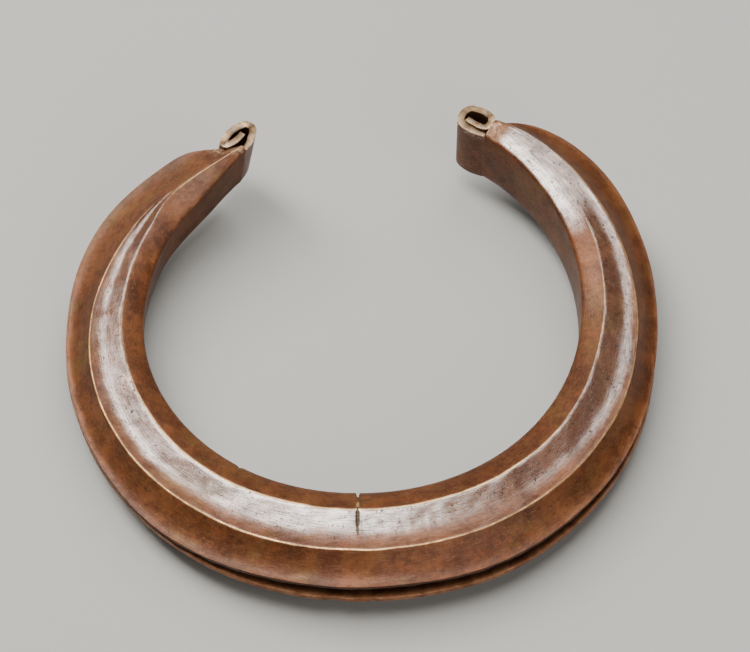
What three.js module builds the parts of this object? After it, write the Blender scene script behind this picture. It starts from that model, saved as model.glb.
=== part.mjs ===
// Bronze torc: an open neck ring hammered from one sheet of bronze. All sizes are in millimetres.
// The sheet is folded into a channel that is closed along the neck and open along the outer side.
// Its upper and lower flanges carry two ridges each, which run together towards the ends.
// Each end narrows to a plain upright band that is rolled outwards into a scroll.
import * as THREE from 'three';
import { mergeVertices } from 'three/addons/utils/BufferGeometryUtils.js';

const SHEET = 1.6;

// The inner edge, seen from above: its radius about the neck's centre at angles from the front.
// Negative angles are the arm on -X. The two arms are not quite alike.
const ARM_ANGLES = [-148, -130, -110, -80, -40, 0, 40, 80, 110, 130, 148];
const INNER_RADII = [70.0, 67.0, 70.5, 73.9, 73.8, 71.5, 71.1, 71.0, 72.6, 73.2, 73.8];

// Where each arm ends, where its rim starts to round in, how fast its outer ridge nears the inner
// edge, where its two ridges become one, how far the inner ridge swings out to the outer one there
// (it dies away in place on +X), how far the foot of its wall leans out at the end, how much higher
// its last ridge stands, and how many degrees its end is cut back on the outer side.
const LEFT_ARM = {
  end: 144, shoulder: 100, taper: 0.95, meet: [110, 127], swing: 1, lean: 4.5, lift: 0, cut: 3.8,
};
const RIGHT_ARM = {
  end: 147, shoulder: 110, taper: 0.68, meet: [104, 127], swing: 0, lean: 0, lift: 0.9, cut: 0,
};
const LEAN_TURN = [60, 125];
const LIFT_TURN = [112, 126];
const CUT_TURN = 14;
const CUT_OUT = [0.5, 8];

// Width of the flanges from the inner edge to the rim.
const WIDTH_FRONT = 32.4;
const WIDTH_ARM = 25.6;
const WIDTH_TURN = [20, 92];
const SHOULDER_PAST_END = 3;

// The two ridges on each flange, measured from the inner edge.
const INNER_RIDGE_FRONT = 8.7;
const INNER_RIDGE_ARM = 7.3;
const OUTER_RIDGE_FRONT = 21.6;
const RIDGE_GAP = 1.1;

// Heights above and below the channel's middle plane.
const WALL_HALF = 9.5;
const WALL_HALF_END = 11;
const INNER_RIDGE_HEIGHT = 13.5;
const OUTER_RIDGE_HEIGHT = 10.6;
const JOINED_RIDGE_HEIGHT = 12.4;
const FADED_RISE = 0.5;
const RIM_HEIGHT = 3.2;
const RIM_HEIGHT_END = 9.5;
const TROUGH_DEPTH = 0.9;
const FLARE_OUT = 0.42;
const FLARE_DOWN = 0.58;

// At the front the upper rim is drawn in and up; on the left the lower rim is pinched towards it.
const DRAWN = { by: 1.1, at: 5, spread: 45 };
const PINCHED = { by: 0.9, at: -42, spread: 22, rise: 1.3 };

// The ring lies on a land worn flat along the lower inner ridge; its ends sweep up off the ground.
const LAND_WIDTH = 2.4;
const ARM_RISE = 12;
const RISE_TURN = [84, 150];

// The last few degrees of each arm, where the flanges stop and only the upright wall goes on.
const CLOSING = 4;
const CLOSING_STEPS = 4;

// Scrolls: the path of the strip's outer face as it rolls, in distances along the arm's last
// direction and out from it. The strip is hammered thicker where it rolls and thins to its tip.
const LEFT_SCROLL = {
  side: -1,
  path: [[0, -0.8], [4.4, 0.1], [8.2, 2.2], [10.0, 5.2], [8.8, 8.6], [3.8, 10.0], [-1.8, 9.2],
    [-4.1, 7.3], [-3.4, 4.9], [-0.6, 3.9], [2.4, 3.8], [4.8, 4.3]],
};
const RIGHT_SCROLL = {
  side: 1,
  path: [[0, -0.8], [4.4, -1.8], [9.1, -1.6], [12.0, 0.4], [12.9, 4.4], [11.8, 7.5], [9.0, 8.9],
    [5.4, 9.4], [2.4, 8.6], [0.7, 6.4], [0.7, 3.5], [2.7, 1.5], [6.0, 1.1], [9.4, 1.3]],
};
const SCROLL_SHEET = 2.4;
const SCROLL_THICKENS = [0, 0.15];
const SCROLL_THINS = [0.6, 1];
const SCROLL_TIP = 2.0;
const SCROLL_STEPS = 42;

const RING_STEPS = 78;

const radians = THREE.MathUtils.degToRad;
const smooth = THREE.MathUtils.smoothstep;
const mix = THREE.MathUtils.lerp;

const innerEdge = new THREE.CatmullRomCurve3(
  ARM_ANGLES.map((angle, i) => new THREE.Vector3(angle, INNER_RADII[i], 0)), false, 'centripetal');

// Radius of the inner edge at an angle: the smooth curve is searched for that angle by halving.
function innerRadius(angle) {
  let low = 0;
  let high = 1;
  for (let i = 0; i < 30; i++) {
    const middle = (low + high) / 2;
    if (innerEdge.getPoint(middle).x < angle) {
      low = middle;
    } else {
      high = middle;
    }
  }
  return innerEdge.getPoint((low + high) / 2).y;
}

function armAt(angle) {
  return angle < 0 ? LEFT_ARM : RIGHT_ARM;
}

// A local change: all of it at its own angle, fading out over its spread on both sides.
function swell(angle, change) {
  return Math.exp(-(((angle - change.at) / change.spread) ** 2));
}

// Half of the section at an angle, as distance out from the inner edge and height off the middle.
function sectionSizes(angle) {
  const a = Math.abs(angle);
  const arm = armAt(angle);
  const shoulder = Math.max(0, (a - arm.shoulder) / (arm.end + SHOULDER_PAST_END - arm.shoulder));
  const rounding = Math.pow(1 - Math.pow(shoulder, 2.2), 0.62);
  const full = mix(WIDTH_FRONT, WIDTH_ARM, smooth(a, ...WIDTH_TURN));
  const rim = full * rounding;
  const taper = 1 - arm.taper * Math.pow(a / RIGHT_ARM.end, 3);
  const outer = Math.min(OUTER_RIDGE_FRONT * taper, rim * 0.8);
  const plain = mix(INNER_RIDGE_FRONT, INNER_RIDGE_ARM, smooth(a, 45, 75));
  const meet = smooth(a, ...arm.meet);
  const inner = mix(Math.min(plain, outer - RIDGE_GAP), outer - RIDGE_GAP, meet * arm.swing);
  const lift = arm.lift * smooth(a, ...LIFT_TURN);
  const wall = mix(WALL_HALF, WALL_HALF_END, smooth(a, 60, arm.end));
  const outerHeight = mix(OUTER_RIDGE_HEIGHT, JOINED_RIDGE_HEIGHT, smooth(a, 84, arm.meet[1])) + lift;
  const faded = mix(wall, outerHeight, inner / outer) + FADED_RISE * Math.min(1, outer - inner);
  const lastHeight = mix(faded, JOINED_RIDGE_HEIGHT + lift, arm.swing);
  return {
    wall,
    inner,
    outer,
    rim,
    innerHeight: mix(INNER_RIDGE_HEIGHT, lastHeight, meet),
    outerHeight,
    rimHeight: mix(RIM_HEIGHT, RIM_HEIGHT_END, smooth(a, 108, arm.end)),
    trough: TROUGH_DEPTH * (1 - meet),
    drawn: DRAWN.by * swell(angle, DRAWN),
    pinched: PINCHED.by * swell(angle, PINCHED),
  };
}

// Half of the outer face, from the rim in to the wall.
function halfFace(size, rim, rimHeight) {
  return [
    [rim, rimHeight],
    [mix(size.outer, rim, FLARE_OUT), mix(size.outerHeight, rimHeight, FLARE_DOWN)],
    [size.outer, size.outerHeight],
    [(size.inner + size.outer) / 2, (size.innerHeight + size.outerHeight) / 2 - size.trough],
    [size.inner, size.innerHeight],
    [0, size.wall],
  ];
}

// Outer face of the sheet, from the upper rim round the wall to the lower rim.
function outerFace(size) {
  const upper = halfFace(size, size.rim - size.drawn, size.rimHeight + size.drawn);
  const under = halfFace(size, size.rim - size.pinched, size.rimHeight - PINCHED.rise * size.pinched);
  const lower = under.reverse().map(([out, up]) => [out, -up]);
  const half = Math.min(LAND_WIDTH, (size.outer - size.inner) * 0.8) / 2;
  lower.splice(1, 1, [size.inner - half, -size.innerHeight], [size.inner + half, -size.innerHeight]);
  return [...upper, ...lower].map(([out, up]) => new THREE.Vector2(out, up));
}

// The same face moved in by the sheet's thickness, corner by corner.
function innerFace(face) {
  const moved = [];
  for (let i = 0; i < face.length; i++) {
    const here = face[i];
    const before = here.clone().sub(face[Math.max(0, i - 1)]);
    const after = face[Math.min(face.length - 1, i + 1)].clone().sub(here);
    if (i === 0) {
      before.copy(after);
    }
    if (i === face.length - 1) {
      after.copy(before);
    }
    const first = new THREE.Vector2(-before.y, before.x).normalize();
    const second = new THREE.Vector2(-after.y, after.x).normalize();
    const corner = first.add(second).normalize();
    const stretch = Math.max(0.6, corner.dot(second));
    moved.push(here.clone().addScaledVector(corner, SHEET / stretch));
  }
  return moved;
}

// The flat upright band, with as many points as the channel so that one closes down to the other.
function bandSection(count, innerCount, half) {
  const points = [];
  const upperCount = Math.floor(count / 2);
  for (let i = 0; i < upperCount; i++) {
    points.push(new THREE.Vector2(SHEET * (1 - i / (upperCount - 1)), half));
  }
  for (let i = upperCount; i < count; i++) {
    points.push(new THREE.Vector2(SHEET * (i - upperCount) / (count - upperCount - 1), -half));
  }
  for (let i = 0; i < innerCount; i++) {
    const up = mix(-half, half, (i + 1) / (innerCount + 1));
    points.push(new THREE.Vector2(SHEET, up));
  }
  return points;
}

function section(angle) {
  const size = sectionSizes(angle);
  const face = outerFace(size);
  const back = innerFace(face).reverse();
  const band = bandSection(face.length, back.length, size.wall);
  const end = armAt(angle).end;
  const blend = smooth(Math.abs(angle), end - CLOSING, end);
  return [...face, ...back].map((point, i) => point.clone().lerp(band[i], blend));
}

function rise(angle) {
  return INNER_RIDGE_HEIGHT + ARM_RISE * smooth(Math.abs(angle), ...RISE_TURN);
}

// How far out a point moves because the wall leans, from nothing at its top to all at its foot.
function lean(angle, up) {
  const { wall } = sectionSizes(angle);
  return armAt(angle).lean * smooth(Math.abs(angle), ...LEAN_TURN) * (wall - up) / (2 * wall);
}

function place(angle, out, up) {
  const arm = armAt(angle);
  const near = smooth(Math.abs(angle), arm.end - CUT_TURN, arm.end);
  const back = Math.sign(angle) * arm.cut * near * smooth(out, ...CUT_OUT);
  const radius = innerRadius(angle) + out + lean(angle, up);
  const turn = radians(angle - back);
  return new THREE.Vector3(radius * Math.sin(turn), -radius * Math.cos(turn), rise(angle) + up);
}

// A scroll's upright strip: its outer face follows the path, its inner face lies a thickness inside.
function scrollRings(scroll) {
  const angle = scroll.side * armAt(scroll.side).end;
  const half = sectionSizes(angle).wall;
  const neck = place(angle, SHEET / 2, half);
  const along = neck.clone().sub(place(angle - scroll.side * 2, SHEET / 2, half));
  along.z = 0;
  along.normalize();
  const out = new THREE.Vector3(-along.y * -scroll.side, along.x * -scroll.side, 0);
  const foot = new THREE.Vector3(0, 0, -2 * half).addScaledVector(out, lean(angle, -half));
  const path = new THREE.CatmullRomCurve3(scroll.path.map(([ahead, aside]) => (
    neck.clone().addScaledVector(along, ahead).addScaledVector(out, aside))), false, 'catmullrom', 0.5);
  const line = path.getSpacedPoints(SCROLL_STEPS);
  return line.slice(1).map((near, i) => {
    const to = line[Math.min(SCROLL_STEPS, i + 2)];
    const run = to.clone().sub(line[i]).normalize();
    const across = new THREE.Vector3(-run.y * -scroll.side, run.x * -scroll.side, 0);
    const done = (i + 1) / SCROLL_STEPS;
    const grown = mix(SHEET, SCROLL_SHEET, smooth(done, ...SCROLL_THICKENS));
    const thickness = mix(grown, SCROLL_TIP, smooth(done, ...SCROLL_THINS));
    const far = near.clone().addScaledVector(across, thickness);
    return [near, near.clone().add(foot), far.clone().add(foot), far];
  });
}

const vertices = [];
const triangles = [];

function addRing(points) {
  const first = vertices.length;
  vertices.push(...points);
  return points.map((_, i) => first + i);
}

function joinRings(one, two) {
  const count = one.length;
  for (let i = 0; i < count; i++) {
    const next = (i + 1) % count;
    triangles.push([one[i], two[i], two[next]], [one[i], two[next], one[next]]);
  }
}

// The many-sided end of an arm meets the four corners of the strip: each corner takes one side.
function joinToStrip(ring, corners, owner, flip) {
  const put = (a, b, c) => triangles.push(flip ? [a, c, b] : [a, b, c]);
  for (let i = 0; i < ring.length; i++) {
    const next = (i + 1) % ring.length;
    put(ring[i], corners[owner[i]], ring[next]);
    if (owner[i] !== owner[next]) {
      put(ring[next], corners[owner[i]], corners[owner[next]]);
    }
  }
}

function capStrip(corners, flip) {
  const [a, b, c, d] = corners;
  triangles.push(flip ? [a, c, b] : [a, b, c], flip ? [a, d, c] : [a, c, d]);
}

const stations = [];
for (let i = 0; i < CLOSING_STEPS; i++) {
  stations.push(-LEFT_ARM.end + CLOSING * i / CLOSING_STEPS);
}
for (let i = 0; i <= RING_STEPS; i++) {
  stations.push(mix(-LEFT_ARM.end + CLOSING, RIGHT_ARM.end - CLOSING, i / RING_STEPS));
}
for (let i = 1; i <= CLOSING_STEPS; i++) {
  stations.push(RIGHT_ARM.end - CLOSING + CLOSING * i / CLOSING_STEPS);
}

const rings = stations.map((angle) => addRing(section(angle).map((point) => place(angle, point.x, point.y))));
for (let i = 1; i < rings.length; i++) {
  joinRings(rings[i - 1], rings[i]);
}

const faceCount = outerFace(sectionSizes(0)).length;
const owners = rings[0].map((_, i) => {
  if (i >= faceCount) {
    return i < faceCount + faceCount / 2 ? 2 : 3;
  }
  if (i === 0) {
    return 3;
  }
  if (i < Math.floor(faceCount / 2)) {
    return 0;
  }
  return i === faceCount - 1 ? 2 : 1;
});

for (const scroll of [LEFT_SCROLL, RIGHT_SCROLL]) {
  const onRight = scroll.side > 0;
  const strip = scrollRings(scroll).map(addRing);
  joinToStrip(onRight ? rings[rings.length - 1] : rings[0], strip[0], owners, !onRight);
  for (let i = 1; i < strip.length; i++) {
    joinRings(onRight ? strip[i - 1] : strip[i], onRight ? strip[i] : strip[i - 1]);
  }
  capStrip(strip[strip.length - 1], onRight);
}

// The finished part stands on z = 0 with the middle of its outline over the origin.
const bounds = new THREE.Box3().setFromPoints(vertices);
const middle = bounds.getCenter(new THREE.Vector3());
const shift = new THREE.Vector3(-middle.x, -middle.y, -bounds.min.z);

const geometry = new THREE.BufferGeometry();
geometry.setAttribute('position', new THREE.Float32BufferAttribute(
  vertices.flatMap((point) => point.clone().add(shift).toArray()), 3));
geometry.setIndex(triangles.flat());

const bronze = new THREE.MeshStandardMaterial({ color: 0x7a4e35, roughness: 0.42, metalness: 0.9 });
const torc = new THREE.Mesh(mergeVertices(geometry, 1e-4), bronze);
torc.name = 'torc';

const part = new THREE.Group();
part.name = 'bronze_torc';
part.add(torc);

export default part;
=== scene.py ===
import math

import bmesh
import bpy
from mathutils import Matrix, Vector


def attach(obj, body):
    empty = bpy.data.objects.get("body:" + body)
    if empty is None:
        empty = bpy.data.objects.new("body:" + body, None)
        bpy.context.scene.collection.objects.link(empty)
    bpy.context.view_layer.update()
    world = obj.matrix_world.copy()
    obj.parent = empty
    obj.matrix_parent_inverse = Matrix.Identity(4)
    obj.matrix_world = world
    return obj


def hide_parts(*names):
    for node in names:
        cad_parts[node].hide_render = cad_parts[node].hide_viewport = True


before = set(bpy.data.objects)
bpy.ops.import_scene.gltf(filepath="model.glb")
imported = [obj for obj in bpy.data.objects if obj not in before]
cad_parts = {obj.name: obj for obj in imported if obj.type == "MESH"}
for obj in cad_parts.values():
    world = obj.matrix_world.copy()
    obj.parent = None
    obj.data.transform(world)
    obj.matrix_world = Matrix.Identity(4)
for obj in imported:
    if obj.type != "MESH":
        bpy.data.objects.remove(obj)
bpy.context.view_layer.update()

# The torc: one sheet of bronze, hammered into a channel open along the outer side and bent into a
# ring. Here it starts as a flat sheet of squares, whose columns follow the ring and rows cross it.
# Angles are in degrees from the front, sizes in millimetres; each arm's bend is its scroll's path.
SHEET = 1.6
ROLLED = 2.4
LEFT = {"end": 144, "shoulder": 100, "taper": 0.95, "meet": (110, 127), "swing": 1, "lean": 4.5,
        "cut": 3.8,
        "bend": [(0, -0.8), (4.4, 0.1), (8.2, 2.2), (10.0, 5.2), (8.8, 8.6), (3.8, 10.0), (-1.8, 9.2),
                 (-4.1, 7.3), (-3.4, 4.9), (-0.6, 3.9), (2.4, 3.8), (4.8, 4.3)]}
RIGHT = {"end": 147, "shoulder": 110, "taper": 0.68, "meet": (104, 127), "swing": 0, "lean": 0, "cut": 0,
         "bend": [(0, -0.8), (4.4, -1.8), (9.1, -1.6), (12.0, 0.4), (12.9, 4.4), (11.8, 7.5), (9.0, 8.9),
                  (5.4, 9.4), (2.4, 8.6), (0.7, 6.4), (0.7, 3.5), (2.7, 1.5), (6.0, 1.1), (9.4, 1.3)]}
SCROLL_COLUMNS = 110
RING_COLUMNS = 500
CRACK_X = -2.4
CRACK_RADIUS = 80
CRACK_ANGLE = math.degrees(math.asin(CRACK_X / CRACK_RADIUS))
CRACK_TURN = 3.1
CRACK_OFFSETS = [0.17, 0.36, 0.6, 0.95, 1.4, 2.0, 2.8, 3.8]
ROW_EVENNESS = 0.45
REGIONS = [("lower flange", 9), ("lower trough", 9), ("lower bevel", 6), ("wall", 9),
           ("upper bevel", 9), ("upper trough", 15), ("upper flange", 14)]

rows = []
for region, count in REGIONS:
    for step in range(count):
        even = step / count
        eased = 0.5 - 0.5 * math.cos(math.pi * even)
        rows.append((region, ROW_EVENNESS * even + (1 - ROW_EVENNESS) * eased))
rows.append(("upper flange", 1.0))
row_count = len(rows)
first_row = {}
for index, (region, part) in enumerate(rows):
    first_row.setdefault(region, index)
wall_low = first_row["wall"]
wall_high = first_row["upper bevel"]
slit_low = wall_low + 7
slit_high = wall_high + 4
crack_high = first_row["upper trough"] + 6

ring_angles = []
for step in range(RING_COLUMNS + 1):
    angle = -LEFT["end"] + (LEFT["end"] + RIGHT["end"]) * step / RING_COLUMNS
    if abs(angle - CRACK_ANGLE) > CRACK_TURN:
        ring_angles.append(angle)
for offset in CRACK_OFFSETS:
    turn = math.degrees(offset / CRACK_RADIUS)
    ring_angles += [CRACK_ANGLE - turn, CRACK_ANGLE + turn]
ring_angles.sort()
ring_start = SCROLL_COLUMNS
ring_stop = ring_start + len(ring_angles) - 1
column_count = ring_stop + 1 + SCROLL_COLUMNS
crack_column = ring_start + sum(1 for angle in ring_angles if angle < CRACK_ANGLE) - 1

bpy.ops.object.select_all(action="DESELECT")
bpy.ops.mesh.primitive_grid_add(x_subdivisions=column_count - 1, y_subdivisions=row_count - 1,
                                size=2, location=(0, 0, 0))
torc = bpy.context.object
torc.name = "torc_sheet"


# Where the hammered sheet lies: the section's sizes change smoothly with the angle from the front,
# the arms sweep up towards the ends, and small wavers stand for work done by hand and eye.
def smooth(value, low, high):
    part = min(1, max(0, (value - low) / (high - low)))
    return part * part * (3 - 2 * part)


def mix(low, high, part):
    return low + (high - low) * part


def waver(value, pace, seed):
    return (math.sin(value * pace + seed) + 0.6 * math.sin(value * pace * 1.73 + seed * 2.1)
            + 0.4 * math.sin(value * pace * 3.1 + seed * 3.7)) / 2


def bump(value, centre, width):
    return math.exp(-((value - centre) / width) ** 2)


def crack_gap(angle):
    return abs(angle - CRACK_ANGLE) * CRACK_RADIUS * math.pi / 180


STATIONS = [(-148, 70.0), (-130, 67.0), (-110, 70.5), (-80, 73.9), (-40, 73.8), (0, 71.5),
            (40, 71.1), (80, 71.0), (110, 72.6), (130, 73.2), (148, 73.8)]


def inner_radius(angle):
    index = 0
    while index < len(STATIONS) - 2 and STATIONS[index + 1][0] < angle:
        index += 1
    (a0, r0), (a1, r1) = STATIONS[index], STATIONS[index + 1]
    before = STATIONS[max(0, index - 1)]
    after = STATIONS[min(len(STATIONS) - 1, index + 2)]
    slope0 = (r1 - before[1]) / (a1 - before[0])
    slope1 = (after[1] - r0) / (after[0] - a0)
    part = (angle - a0) / (a1 - a0)
    span = a1 - a0
    square, cube = part * part, part * part * part
    return ((2 * cube - 3 * square + 1) * r0 + (cube - 2 * square + part) * span * slope0
            + (3 * square - 2 * cube) * r1 + (cube - square) * span * slope1)


# The section at an angle: the flange's width, how far out its two ridges stand, and their heights
# off the channel's middle. The last ridge of the right arm stands a little higher.
WIDTH_FRONT, WIDTH_ARM = 32.4, 25.6
INNER_RIDGE_FRONT, INNER_RIDGE_ARM = 8.7, 7.3
OUTER_RIDGE_FRONT = 21.6
RIDGE_GAP, JOINED_GAP = 1.1, 0.9
WALL_HALF, WALL_HALF_END = 9.5, 11
INNER_RIDGE_HEIGHT, OUTER_RIDGE_HEIGHT, JOINED_RIDGE_HEIGHT = 13.5, 10.6, 12.4
FADED_RISE = 0.5
LIFT, LIFT_TURN = 0.9, (112, 126)
RIM_HEIGHT, RIM_HEIGHT_END = 3.2, 9.5
RIM_DRAWN, RIM_PINCHED, PINCH_RISE = 1.1, 0.9, 1.3


def section_sizes(angle):
    arm = LEFT if angle < 0 else RIGHT
    turn = abs(angle)
    shoulder = max(0, (turn - arm["shoulder"]) / (arm["end"] + 3 - arm["shoulder"]))
    rim = mix(WIDTH_FRONT, WIDTH_ARM, smooth(turn, 20, 92)) * (1 - shoulder ** 2.2) ** 0.62
    rim += 0.25 * waver(angle, 0.11, 1.0) + 0.5 * bump(angle, 22, 9) - 0.5 * bump(angle, -64, 9)
    outer = min(OUTER_RIDGE_FRONT * (1 - arm["taper"] * (turn / RIGHT["end"]) ** 3), rim * 0.8)
    outer += 0.18 * waver(angle, 0.16, 4.0)
    outer += 0.22 * bump(angle, 1.5, 3.4) - 0.2 * bump(angle, -3.5, 3.0)
    plain = mix(INNER_RIDGE_FRONT, INNER_RIDGE_ARM, smooth(turn, 45, 75))
    plain += 0.15 * waver(angle, 0.19, 2.2)
    meet = smooth(turn, *arm["meet"])
    inner = mix(min(plain, outer - RIDGE_GAP), outer - JOINED_GAP, meet * arm["swing"])
    wall = mix(WALL_HALF, WALL_HALF_END, smooth(turn, 60, arm["end"]))
    outer_up = mix(OUTER_RIDGE_HEIGHT, JOINED_RIDGE_HEIGHT, smooth(turn, 84, arm["meet"][1]))
    outer_up += LIFT * smooth(angle, *LIFT_TURN)
    faded = mix(wall, outer_up, inner / outer) + FADED_RISE * min(1, outer - inner)
    rim_up = mix(RIM_HEIGHT, RIM_HEIGHT_END, smooth(turn, 108, arm["end"]))
    return {
        "wall": wall,
        "inner": inner,
        "outer": outer,
        "rim": rim,
        "inner_up": mix(INNER_RIDGE_HEIGHT, mix(faded, JOINED_RIDGE_HEIGHT, arm["swing"]), meet),
        "outer_up": outer_up,
        "rim_up": rim_up + 0.2 * waver(angle, 0.13, 3.0),
        "drawn_in": RIM_DRAWN * bump(angle, 5, 45),
        "pinched": RIM_PINCHED * bump(angle, -42, 22),
        "trough": (1.0 + 0.13 * waver(angle, 0.24, 5.0) + 0.06 * waver(angle, 0.9, 1.0)) * (1 - meet),
    }


def half_section(size, region, part, drawn_in, lift):
    if region == "bevel":
        return mix(0, size["inner"], part), (mix(size["wall"], size["inner_up"], part)
                                             + 0.3 * math.sin(math.pi * part))
    if region == "trough":
        past = max(0, (part - 0.45) / 0.55)
        dip = part / 0.45 if past == 0 else 1 + 1.22 * past - 2.22 * past * past
        return (mix(size["inner"], size["outer"], part),
                mix(size["inner_up"], size["outer_up"], part) - size["trough"] * dip)
    drop = (1 - part) ** 1.75
    return (mix(size["outer"], size["rim"] - drawn_in, part),
            mix(size["rim_up"] + lift, size["outer_up"], drop))


def section_point(size, region, part):
    side, _, name = region.partition(" ")
    if side == "wall":
        return -0.35 * math.sin(math.pi * part), mix(-size["wall"], size["wall"], part)
    if side == "upper":
        return half_section(size, name, part, size["drawn_in"], size["drawn_in"])
    out, up = half_section(size, name, 1 - part, size["pinched"], -PINCH_RISE * size["pinched"])
    return out, -up


# The ring rests on its lowest ridge, and its arms rise off the ground towards the ends.
ARM_RISE, RISE_TURN, LEAN_TURN = 12, (84, 150), (60, 125)


def lean(angle, size, up):
    arm = LEFT if angle < 0 else RIGHT
    return arm["lean"] * smooth(abs(angle), *LEAN_TURN) * (size["wall"] - up) / (2 * size["wall"])


def ring_place(angle, out, up, size):
    radius = inner_radius(angle) + out + lean(angle, size, up)
    near_crack = bump(angle, CRACK_ANGLE, 3.5)
    bend = math.degrees(math.asin(CRACK_X / radius)) - CRACK_ANGLE
    turn = math.radians(angle + bend * near_crack)
    rise = INNER_RIDGE_HEIGHT + ARM_RISE * smooth(abs(angle), *RISE_TURN)
    return Vector((radius * math.sin(turn), -radius * math.cos(turn), rise + up))


# The scrolls: the strip's outer face follows a smooth curve through the points of its bend, and
# its columns stand at even steps along that curve.
CURVE_STEPS = 40


def scroll_line(arm):
    bend = arm["bend"]
    fine = []
    for index in range(len(bend) - 1):
        p1, p2 = Vector(bend[index]), Vector(bend[index + 1])
        p0 = Vector(bend[index - 1]) if index else p1 * 2 - p2
        p3 = Vector(bend[index + 2]) if index + 2 < len(bend) else p2 * 2 - p1
        for step in range(CURVE_STEPS):
            t = step / CURVE_STEPS
            fine.append((p1 * 2 + (p2 - p0) * t + (p0 * 2 - p1 * 5 + p2 * 4 - p3) * t * t
                         + (p1 * 3 - p0 - p2 * 3 + p3) * t * t * t) / 2)
    fine.append(Vector(bend[-1]))
    reach = [0.0]
    for before, after in zip(fine, fine[1:]):
        reach.append(reach[-1] + (after - before).length)
    line = []
    index = 0
    for step in range(1, SCROLL_COLUMNS + 1):
        wanted = reach[-1] * step / SCROLL_COLUMNS
        while index < len(reach) - 2 and reach[index + 1] < wanted:
            index += 1
        part = (wanted - reach[index]) / (reach[index + 1] - reach[index])
        line.append(fine[index].lerp(fine[index + 1], part))
    return line, reach[-1]


def scroll_columns(arm):
    side = -1 if arm is LEFT else 1
    end = side * arm["end"]
    size = section_sizes(end)
    neck = ring_place(end, SHEET / 2, size["wall"], size)
    along = neck - ring_place(end - side * 2, SHEET / 2, size["wall"], size)
    along.z = 0
    along.normalize()
    out = Vector((along.y * side, -along.x * side, 0))
    foot_out = out * lean(end, size, -size["wall"])
    line, length = scroll_line(arm)
    columns = []
    for step, (ahead, aside) in enumerate(line):
        column = []
        for row in range(row_count):
            part = min(1, max(0, (row - wall_low) / (wall_high - wall_low)))
            edge = 0.22 * waver(step, 0.17, side * 2.0) * smooth(step, 0, 14)
            place = neck + along * ahead + out * aside + foot_out * (1 - part)
            place.z += (1 - part) * -2 * size["wall"] + edge * (2 * part - 1)
            column.append(place)
        columns.append(column)
    return columns


# One column across the ring: ridges and edges a little rounded, hammer ripples, nicks in the
# rims, and the crack with its open slit, raised lip and groove.
LOWER_NICKS = ((-5.6, 1.6, 0.55), (1.3, 0.8, 0.4))
UPPER_NICK_ANGLE, UPPER_NICK = -81, 0.8
INNER_NICK_ANGLE, INNER_NICK = -33, 0.5
NECK_RADIUS = 75
CRACK_OPENING, CRACK_LIP, CRACK_GROOVE = 0.5, 0.28, 0.34


def ring_column(angle):
    arm = LEFT if angle < 0 else RIGHT
    size = section_sizes(angle)
    column = [section_point(size, region, part) for region, part in rows]
    corners = [first_row[name] for name, _ in REGIONS[1:]]
    for _ in range(2):
        rounded = list(column)
        for corner in corners:
            pull = 0.10 if corner in (wall_low, wall_high) else 0.25
            for row in (corner - 1, corner, corner + 1):
                rounded[row] = tuple(pull * (column[row - 1][k] + column[row + 1][k])
                                     + (1 - 2 * pull) * column[row][k] for k in (0, 1))
        column = rounded
    points = []
    gap = crack_gap(angle)
    for row, (out, up) in enumerate(column):
        ripple = 0.07 * waver(angle, 0.33, row * 0.35) + 0.03 * waver(angle, 0.9, row * 0.8)
        up += ripple * (1 if row > wall_high else -1 if row < wall_low else 0)
        if row <= 1:
            nicks = sum(depth * bump(angle, at, spread) for at, spread, depth in LOWER_NICKS)
            out -= nicks * (1 - 0.5 * row)
        if row >= row_count - 2:
            out -= UPPER_NICK * bump(angle, UPPER_NICK_ANGLE, 0.5) * (0.5 if row == row_count - 2 else 1)
        if wall_high - 1 <= row <= wall_high + 1:
            out += INNER_NICK * bump(angle, INNER_NICK_ANGLE, 0.5)
        shifted = angle
        if slit_low - 1 <= row <= slit_high + 1 and gap < 3:
            opening = CRACK_OPENING * bump(row, wall_high, 2.2) * bump(gap, 0, 1.2)
            shifted += math.degrees(opening / NECK_RADIUS) * (1 if angle > CRACK_ANGLE else -1)
        if slit_high <= row <= wall_high + 8:
            up += CRACK_LIP * bump(gap, 0, 0.9)
        if wall_high + 8 < row <= crack_high + 2:
            worn_out = 1 - smooth(row, crack_high - 2, crack_high + 3)
            off_line = gap + 0.12 * math.sin(row * 2.6)
            up -= (CRACK_GROOVE + 0.14 * math.sin(row * 1.9)) * bump(off_line, 0, 0.42) * worn_out
            up -= 0.12 * bump(gap, 1.4, 0.5) * bump(row, wall_high + 15, 1.4)
        back = arm["cut"] * smooth(abs(angle), arm["end"] - 14, arm["end"]) * smooth(out, 0.5, 8)
        shifted -= math.copysign(back, angle)
        points.append(ring_place(shifted, out, up, size))
    return points


columns = list(reversed(scroll_columns(LEFT)))
columns += [ring_column(angle) for angle in ring_angles]
columns += scroll_columns(RIGHT)

TO_METRES = 0.001
shift = Vector((1.4875, 14.1616, 0))

mesh = torc.data
for index, vertex in enumerate(mesh.vertices):
    column, row = index % column_count, index // column_count
    vertex.co = (columns[column][row] + shift) * TO_METRES

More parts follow.
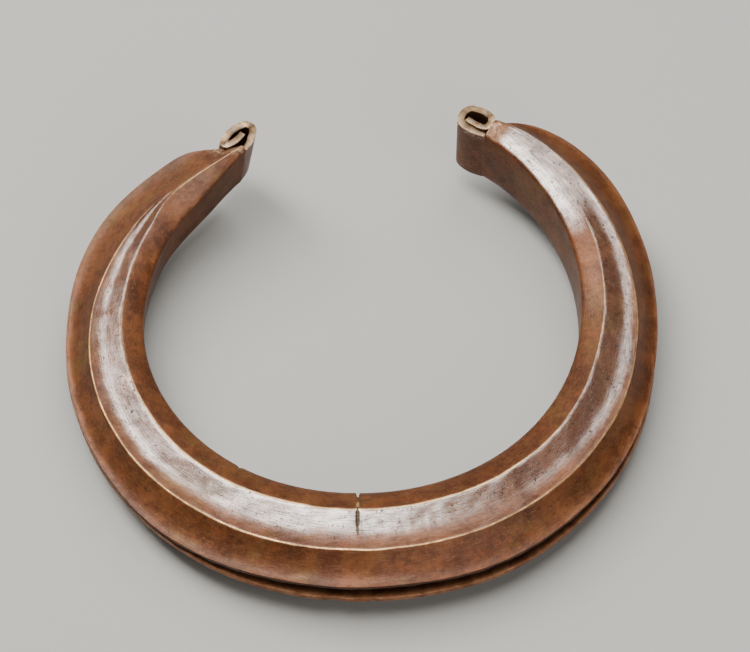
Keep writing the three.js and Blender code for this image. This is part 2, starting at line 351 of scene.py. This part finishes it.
# Wear, dirt and painted light are kept with the sheet: it is worn bright along the ridges and cut edges,
# where the bare metal is also painted bright to stand in for the highlight along the ridges, polished in
# the upper trough and dull elsewhere; the crack holds olive dirt, and the lower rim is marked for a
# painted lit band. A map along and across the band lets scratches follow it.
MAP_LENGTH = 100
vertex_count = len(mesh.vertices)
kinds = ("wear_and_highlight", "polish", "scroll", "crack", "dull", "rim")
surface = {name: [0.0] * vertex_count for name in kinds}
rolled = torc.vertex_groups.new(name="rolled")
trough_start, trough_stop = first_row["upper trough"], first_row["upper flange"]
middle_row = (trough_start + trough_stop) // 2
column_reach = [0.0]
for before, after in zip(columns, columns[1:]):
    column_reach.append(column_reach[-1] + (after[middle_row] - before[middle_row]).length)
front = columns[ring_start + len(ring_angles) // 2]
row_reach = [0.0]
for before, after in zip(front, front[1:]):
    row_reach.append(row_reach[-1] + (after - before).length)
mesh.uv_layers.active.name = "band"
for loop in mesh.loops:
    column, row = loop.vertex_index % column_count, loop.vertex_index // column_count
    spot = (column_reach[column] / MAP_LENGTH, row_reach[row] / MAP_LENGTH)
    mesh.uv_layers["band"].data[loop.index].uv = spot


# Bare metal, painted bright enough to also stand in for the highlight along the ridges: the ridges, less
# along the inner one of each arm, then the rims, the corners of the wall and the lip of the crack. Where
# the two ridges of the left arm join, one line is left.
def worn_bare_and_highlit(angle, row, gap, joined):
    inner_ridge = bump(row, trough_start, 1.1) * (1 - smooth(angle, 112, 124))
    inner_ridge *= 1 - 0.35 * smooth(-angle, 55, 80) - 0.3 * smooth(angle, 35, 60)
    return max(inner_ridge,
               0.9 * bump(row, trough_stop, 1.1) * (1 - joined),
               0.9 * joined * bump(row, trough_start + 3, 3.2),
               0.8 * bump(row, first_row["lower trough"], 1.3),
               0.8 * bump(row, first_row["lower bevel"], 1.3),
               0.35 * bump(row, wall_high, 1.0),
               0.45 * bump(row, row_count - 1, 1.2),
               0.45 * bump(row, 0, 1.2),
               0.95 * bump(gap, 0, 0.8) * bump(row, wall_high + 6.5, 2.0))


# Polish: the inner half of the trough at the front, all of it but weaker along the arms, and the
# whole face between the inner edge and the last ridge at the end of the right arm.
def polished(angle, row, joined):
    along_arm = smooth(abs(angle), 30, 75)
    last_bright = mix(trough_start + 9.5, trough_stop - 1, along_arm) + 0.8 * waver(angle, 0.2, 6.0)
    shine = smooth(row, trough_start - 1, trough_start + 1)
    shine -= 0.85 * smooth(row, last_bright - 4, last_bright)
    shine *= mix(1, 0.45 if angle < 0 else 0.9, along_arm)
    shine *= (1 - smooth(row, trough_stop - 1, trough_stop + 0.5)) * (1 - joined)
    end_face = smooth(row, wall_high, wall_high + 2) - smooth(row, trough_stop - 3, trough_stop)
    shine = max(shine * (1 - smooth(angle, 112, 126)), 1.3 * end_face * smooth(angle, 108, 124))
    shine *= 1 - smooth(angle, 140, 144)
    return min(1, max(shine, 0.03))


for index in range(vertex_count):
    column, row = index % column_count, index // column_count
    on_ring = ring_start <= column <= ring_stop
    past = max(ring_start - column, column - ring_stop) / SCROLL_COLUMNS
    if on_ring:
        angle = ring_angles[column - ring_start]
        gap = crack_gap(angle)
        arm = LEFT if angle < 0 else RIGHT
        joined = smooth(abs(angle), *arm["meet"]) * arm["swing"]
        surface["wear_and_highlight"][index] = worn_bare_and_highlit(angle, row, gap, joined)
        surface["polish"][index] = polished(angle, row, joined)
        # Rows of the lower rim: a painted lit band goes here, and the painted shade inside is eased.
        surface["rim"][index] = 1 - smooth(row, 2, 6)
        if row > wall_high:
            surface["scroll"][index] = 0.6 * smooth(abs(angle), arm["end"] - 5, arm["end"] - 1)
        front_rim = 0.6 * bump(row, row_count - 1, 4) * (1 - smooth(abs(angle), 50, 80))
        surface["dull"][index] = smooth(-angle, 100, 122) + front_rim
        if wall_high + 8 <= row <= crack_high + 2:
            surface["crack"][index] = max(0.0, 1 - gap / (0.62 + 0.2 * math.sin(row * 2.2)))
        elif slit_low <= row < wall_high + 5:
            surface["crack"][index] = max(0.0, 0.6 - gap / 0.6)
    elif wall_low <= row <= wall_high:
        top = smooth(row, wall_high - 1, wall_high)
        surface["wear_and_highlight"][index] = 0.75 * top
        surface["polish"][index] = 0.06 + 0.3 * top
        surface["scroll"][index] = top
        rolled.add([index], smooth(past, 0, 0.15) * (1 - 0.5 * smooth(past, 0.6, 1.0)), "REPLACE")
for name, values in surface.items():
    mesh.attributes.new(name, "FLOAT", "POINT").data.foreach_set("value", values)

# The blank is cut to shape: beyond each arm only the wall's strip goes on into the scroll, and the
# crack across the front is open right through.
model = bmesh.new()
model.from_mesh(mesh)
model.verts.ensure_lookup_table()
gone = []
for face in model.faces:
    places = [(v.index % column_count, v.index // column_count) for v in face.verts]
    column = min(place[0] for place in places)
    row = min(place[1] for place in places)
    past_arm = column < ring_start or column >= ring_stop
    if past_arm and not wall_low <= row < wall_high:
        gone.append(face)
    elif column == crack_column and slit_low <= row < slit_high:
        gone.append(face)
bmesh.ops.delete(model, geom=gone, context="FACES")
loose = [v for v in model.verts if not v.link_faces]
bmesh.ops.delete(model, geom=loose, context="VERTS")
model.to_mesh(mesh)
model.free()

# The sheet's own thickness, inwards from the faces just made, with its cut edges rubbed round.
bpy.ops.object.select_all(action="DESELECT")
torc.select_set(True)
bpy.context.view_layer.objects.active = torc
outer_count = len(mesh.vertices)
RUBBED = 0.32
thick = torc.modifiers.new("thickness", "SOLIDIFY")
thick.thickness = ROLLED * TO_METRES
thick.vertex_group = "rolled"
thick.thickness_vertex_group = SHEET / ROLLED
thick.offset = 1
thick.use_even_offset = True
thick.use_quality_normals = True
thick.thickness_clamp = 0
bpy.ops.object.modifier_apply(modifier="thickness")
inside = torc.data.attributes.new("inside", "FLOAT", "POINT")
for index in range(outer_count):
    inside.data[index].value = 1.0
edges = torc.modifiers.new("rubbed_edges", "BEVEL")
edges.width = RUBBED * TO_METRES
edges.segments = 2
edges.limit_method = "ANGLE"
edges.angle_limit = math.radians(62)
bpy.ops.object.modifier_apply(modifier="rubbed_edges")
bpy.ops.object.shade_smooth_by_angle(angle=math.radians(50))

# Patinated bronze: a thin brown skin over the metal, mottled red, ochre and olive, thin and bright along
# the ridges, where the bare metal also stands in for a painted highlight, pale and scaly on the scrolls,
# dark and olive in the crack. Inside the channel's hollow the faces are darkened with painted shade, and
# the lower rim is lightened with a painted lit band.
DEEP_BROWN = (0.042, 0.0110, 0.0030)
BROWN = (0.088, 0.0265, 0.0075)
TAN_BROWN = (0.150, 0.054, 0.0160)
RUST = (0.125, 0.024, 0.0060)
OCHRE = (0.115, 0.062, 0.0130)
NEAR_BLACK = (0.024, 0.009, 0.003)
GOLD_FLECK = (0.26, 0.14, 0.060)
SCRATCH = (0.25, 0.14, 0.08)
# Bare ridge metal, also painted bright to stand in for the highlight along the ridges.
BARE_METAL_AND_HIGHLIGHT = (0.56, 0.36, 0.17)
PALE_SCALE = (0.42, 0.31, 0.20)
OLIVE_SCALE = (0.16, 0.12, 0.065)
DARK_GRIME = (0.024, 0.019, 0.010)
OLIVE_GRIME = (0.075, 0.062, 0.036)
# Painted shade for the faces inside the channel's hollow.
CHANNEL_PAINTED_SHADE = (0.022, 0.010, 0.005)
# Painted light: a lighter brown band along the lower rim, standing in for the light that falls on it.
RIM_LIT_BROWN = (0.15, 0.055, 0.022)
RIM_LIT_BRIGHT = (0.34, 0.16, 0.08)
PIT_DARK = (0.030, 0.014, 0.007)
WORN_ROUGH = (0.30, 0.30, 0.30)
DULL_ROUGH = (0.78, 0.78, 0.78)
bronze = bpy.data.materials.new("bronze_patina")
bronze.use_nodes = True
nodes = bronze.node_tree.nodes
links = bronze.node_tree.links
shader = nodes["Principled BSDF"]
place = nodes.new("ShaderNodeTexCoord")


def noise(scale, detail, roughness, distortion=0.0):
    node = nodes.new("ShaderNodeTexNoise")
    node.inputs["Scale"].default_value = scale
    node.inputs["Detail"].default_value = detail
    node.inputs["Roughness"].default_value = roughness
    node.inputs["Distortion"].default_value = distortion
    links.new(place.outputs["Object"], node.inputs["Vector"])
    return node.outputs["Fac"]


def ramp(source, *stops):
    node = nodes.new("ShaderNodeValToRGB")
    points = node.color_ramp.elements
    while len(points) < len(stops):
        points.new(0.5)
    for element, (at, colour) in zip(points, stops):
        element.position = at
        element.color = (*colour, 1) if isinstance(colour, tuple) else (colour, colour, colour, 1)
    links.new(source, node.inputs["Fac"])
    return node.outputs["Color"]


def blend(amount, under, over, mode="MIX"):
    node = nodes.new("ShaderNodeMix")
    node.data_type = "RGBA"
    node.blend_type = mode
    if isinstance(amount, (int, float)):
        node.inputs["Factor"].default_value = amount
    else:
        links.new(amount, node.inputs["Factor"])
    for socket, value in ((node.inputs[6], under), (node.inputs[7], over)):
        if isinstance(value, tuple):
            socket.default_value = (*value, 1)
        else:
            links.new(value, socket)
    return node.outputs[2]


def maths(operation, *values):
    node = nodes.new("ShaderNodeMath")
    node.operation = operation
    for socket, value in zip(node.inputs, values):
        if isinstance(value, (int, float)):
            socket.default_value = value
        else:
            links.new(value, socket)
    return node.outputs[0]


def attribute(name):
    node = nodes.new("ShaderNodeAttribute")
    node.attribute_name = name
    return node.outputs["Fac"]


def band_noise(along_scale, across_scale, detail):
    spot = nodes.new("ShaderNodeUVMap")
    spot.uv_map = "band"
    stretch = nodes.new("ShaderNodeMapping")
    stretch.inputs["Scale"].default_value = (along_scale, across_scale, 1)
    links.new(spot.outputs["UV"], stretch.inputs["Vector"])
    node = nodes.new("ShaderNodeTexNoise")
    node.inputs["Scale"].default_value = 1
    node.inputs["Detail"].default_value = detail
    node.inputs["Roughness"].default_value = 0.6
    links.new(stretch.outputs["Vector"], node.inputs["Vector"])
    return node.outputs["Fac"]


def inverse(value):
    return maths("SUBTRACT", 1.0, value)


# The skin so far, with one more colour laid over it wherever the mask is, at the given strength.
def laid(under, mask, strength, over):
    return blend(maths("MULTIPLY", mask, strength), under, over)


polish_value = attribute("polish")
inside_value = attribute("inside")
dull_value = attribute("dull")
rim_value = attribute("rim")

colour = ramp(noise(75, 9, 0.82), (0.36, DEEP_BROWN), (0.5, BROWN), (0.63, TAN_BROWN))
colour = laid(colour, ramp(noise(150, 8, 0.80), (0.52, 0.0), (0.64, 1.0)), 0.5, RUST)
colour = laid(colour, ramp(noise(60, 9, 0.84), (0.51, 0.0), (0.62, 1.0)), 0.5, OCHRE)
colour = laid(colour, ramp(noise(400, 6, 0.8), (0.55, 0.0), (0.66, 1.0)), 0.6, NEAR_BLACK)
colour = laid(colour, ramp(noise(900, 5, 0.8), (0.60, 0.0), (0.68, 1.0)), 0.5, GOLD_FLECK)
colour = laid(colour, ramp(band_noise(22, 420, 6), (0.56, 0.0), (0.66, 1.0)), 0.35, SCRATCH)

# Worn bare metal on the ridges, rims, wall corners and crack lip, painted bright enough to also stand in
# for the highlight along the ridges.
ragged = maths("ADD", 0.28, maths("MULTIPLY", noise(210, 6, 0.7), 1.15))
bare_and_highlight = ramp(maths("MULTIPLY", attribute("wear_and_highlight"), ragged), (0.46, 0.0), (0.80, 1.0))
colour = laid(colour, bare_and_highlight, 0.9, BARE_METAL_AND_HIGHLIGHT)
flakes = ramp(noise(600, 6, 0.8), (0.47, 0.0), (0.56, 1.0))
scaly = ramp(noise(330, 6, 0.8), (0.42, PALE_SCALE), (0.58, OLIVE_SCALE))
colour = laid(colour, maths("MULTIPLY", attribute("scroll"), flakes), 0.9, scaly)
caked = maths("MULTIPLY", attribute("crack"), maths("ADD", 0.5, noise(900, 3, 0.6)))
grime = ramp(caked, (0.2, 0.0), (0.42, 1.0))
colour = blend(grime, colour, ramp(noise(1500, 3, 0.7), (0.42, DARK_GRIME), (0.62, OLIVE_GRIME)))
# Painted shade: the faces inside the channel's hollow are darkened towards near black, less at the lower
# rim.
channel_shade_amount = maths("SUBTRACT", 0.75, maths("MULTIPLY", rim_value, 0.75))
colour = blend(maths("MULTIPLY", inside_value, channel_shade_amount), colour, CHANNEL_PAINTED_SHADE)
# Painted light: the lower rim is lightened with brown and bright patches, as if lit.
colour = laid(colour, rim_value, 0.6, ramp(noise(170, 5, 0.7), (0.4, RIM_LIT_BROWN), (0.6, RIM_LIT_BRIGHT)))
specks = ramp(noise(700, 5, 0.75), (0.59, 1.0), (0.64, 0.0))
colour = blend(maths("MULTIPLY", polish_value, inverse(specks)), colour, PIT_DARK)
links.new(colour, shader.inputs["Base Color"])

rough = ramp(noise(70, 6, 0.6, 0.3), (0.3, 0.42), (0.7, 0.56))
rough = blend(maths("MULTIPLY", bare_and_highlight, 0.7), rough, WORN_ROUGH)
rough = blend(maths("MULTIPLY", dull_value, 0.75), rough, DULL_ROUGH)
links.new(rough, shader.inputs["Roughness"])
metal = maths("ADD", 0.45, maths("MULTIPLY", bare_and_highlight, 0.35))
links.new(maths("SUBTRACT", metal, maths("MULTIPLY", dull_value, 0.25)), shader.inputs["Metallic"])
shader.inputs["IOR"].default_value = 1.36

pits = ramp(noise(1100, 3, 0.6), (0.64, 1.0), (0.72, 0.0))
rubbed = ramp(band_noise(16, 300, 6), (0.38, 0.30), (0.54, 1.0))
shiny = maths("MULTIPLY", polish_value, maths("MULTIPLY", rubbed, maths("MULTIPLY", pits, specks)))
shiny = maths("MULTIPLY", shiny, ramp(noise(150, 6, 0.72), (0.34, 0.55), (0.52, 1.0)))
shiny = maths("MULTIPLY", shiny, inverse(grime))
shiny = maths("MULTIPLY", shiny, inverse(inside_value))
links.new(shiny, shader.inputs["Coat Weight"])
shader.inputs["Coat Roughness"].default_value = 0.26
shader.inputs["Coat IOR"].default_value = 2.6

relief = maths("ADD", maths("MULTIPLY", pits, 0.12), maths("MULTIPLY", noise(55, 4, 0.5), 0.9))
relief = maths("ADD", relief, maths("MULTIPLY", band_noise(10, 300, 3), 0.045))
grain = maths("MULTIPLY", noise(700, 4, 0.7), 0.35)
relief = maths("ADD", relief, maths("MULTIPLY", grain, inverse(polish_value)))
raised = nodes.new("ShaderNodeBump")
raised.inputs["Strength"].default_value = 0.4
raised.inputs["Distance"].default_value = 0.0006
links.new(relief, raised.inputs["Height"])
links.new(raised.outputs["Normal"], shader.inputs["Normal"])
links.new(raised.outputs["Normal"], shader.inputs["Coat Normal"])
torc.data.materials.append(bronze)

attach(torc, "root")
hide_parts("torc")

# The ground that the torc lies on: a plain pale sheet, wide enough that no edge shows from above.
FLOOR_SIZE = 6
FLOOR_DROP = 0.0002
FLOOR_COLOUR = (0.30, 0.30, 0.29, 1)
bpy.ops.object.select_all(action="DESELECT")
bpy.ops.mesh.primitive_plane_add(size=FLOOR_SIZE, location=(0, 0, -FLOOR_DROP))
floor = bpy.context.object
floor.name = "floor"
pale = bpy.data.materials.new("pale_floor")
pale.use_nodes = True
pale_shader = pale.node_tree.nodes["Principled BSDF"]
pale_shader.inputs["Base Color"].default_value = FLOOR_COLOUR
pale_shader.inputs["Roughness"].default_value = 0.9
floor.data.materials.append(pale)

# Soft studio light: a long diffuser overhead to the left, a weaker one behind to the right, and a
# weak one low at the front. Each has an aim, a distance, the way its long side lies, a size in
# metres and a power in watts.
LIGHT_COLOUR = (1, 0.965, 0.92)
world = bpy.data.worlds.new("studio")
bpy.context.scene.world = world
world.use_nodes = True
world.node_tree.nodes["Background"].inputs["Color"].default_value = (0.9, 0.95, 1.0, 1)
world.node_tree.nodes["Background"].inputs["Strength"].default_value = 0.10
for name, aim, reach, long_side, size, power in (
        ("key", (-0.35, 0.15, 0.925), 1.6, (-0.7, 0.7, 0), (2.3, 0.60), 73),
        ("side", (0.22, 0.385, 0.90), 1.7, (0.31, 0.95, 0), (1.6, 0.85), 19),
        ("fill", (0.45, -0.7, 0.55), 1.4, (1, 0, 0), (1.0, 1.0), 9)):
    aim = Vector(aim).normalized()
    along_side = Vector(long_side) - aim * aim.dot(Vector(long_side))
    along_side.normalize()
    bpy.ops.object.light_add(type="AREA")
    lamp = bpy.context.object
    lamp.name = name
    lamp.data.shape = "RECTANGLE"
    lamp.data.size, lamp.data.size_y = size
    lamp.data.energy = power
    lamp.data.color = LIGHT_COLOUR
    turned = Matrix((along_side, aim.cross(along_side), aim)).transposed().to_4x4()
    turned.translation = aim * reach
    lamp.matrix_world = turned

# The camera looks down on the ring from the front, as the torc is seen on a table. It stands one
# metre from a point a little behind the middle of the neck.
AIM_RIGHT, AIM_BACK = 3.0045, 8.9975
SENSOR_WIDTH = 36
LENS = 141.6
elevation = math.radians(55)
target = Vector((shift.x + AIM_RIGHT, shift.y + AIM_BACK, 0)) * TO_METRES
bpy.ops.object.camera_add(location=target + Vector((0, -math.cos(elevation), math.sin(elevation))))
camera = bpy.context.object
camera.rotation_euler = (math.radians(90) - elevation, 0, 0)
camera.data.sensor_width = SENSOR_WIDTH
camera.data.lens = LENS
camera.data.dof.use_dof = False
bpy.context.scene.camera = camera
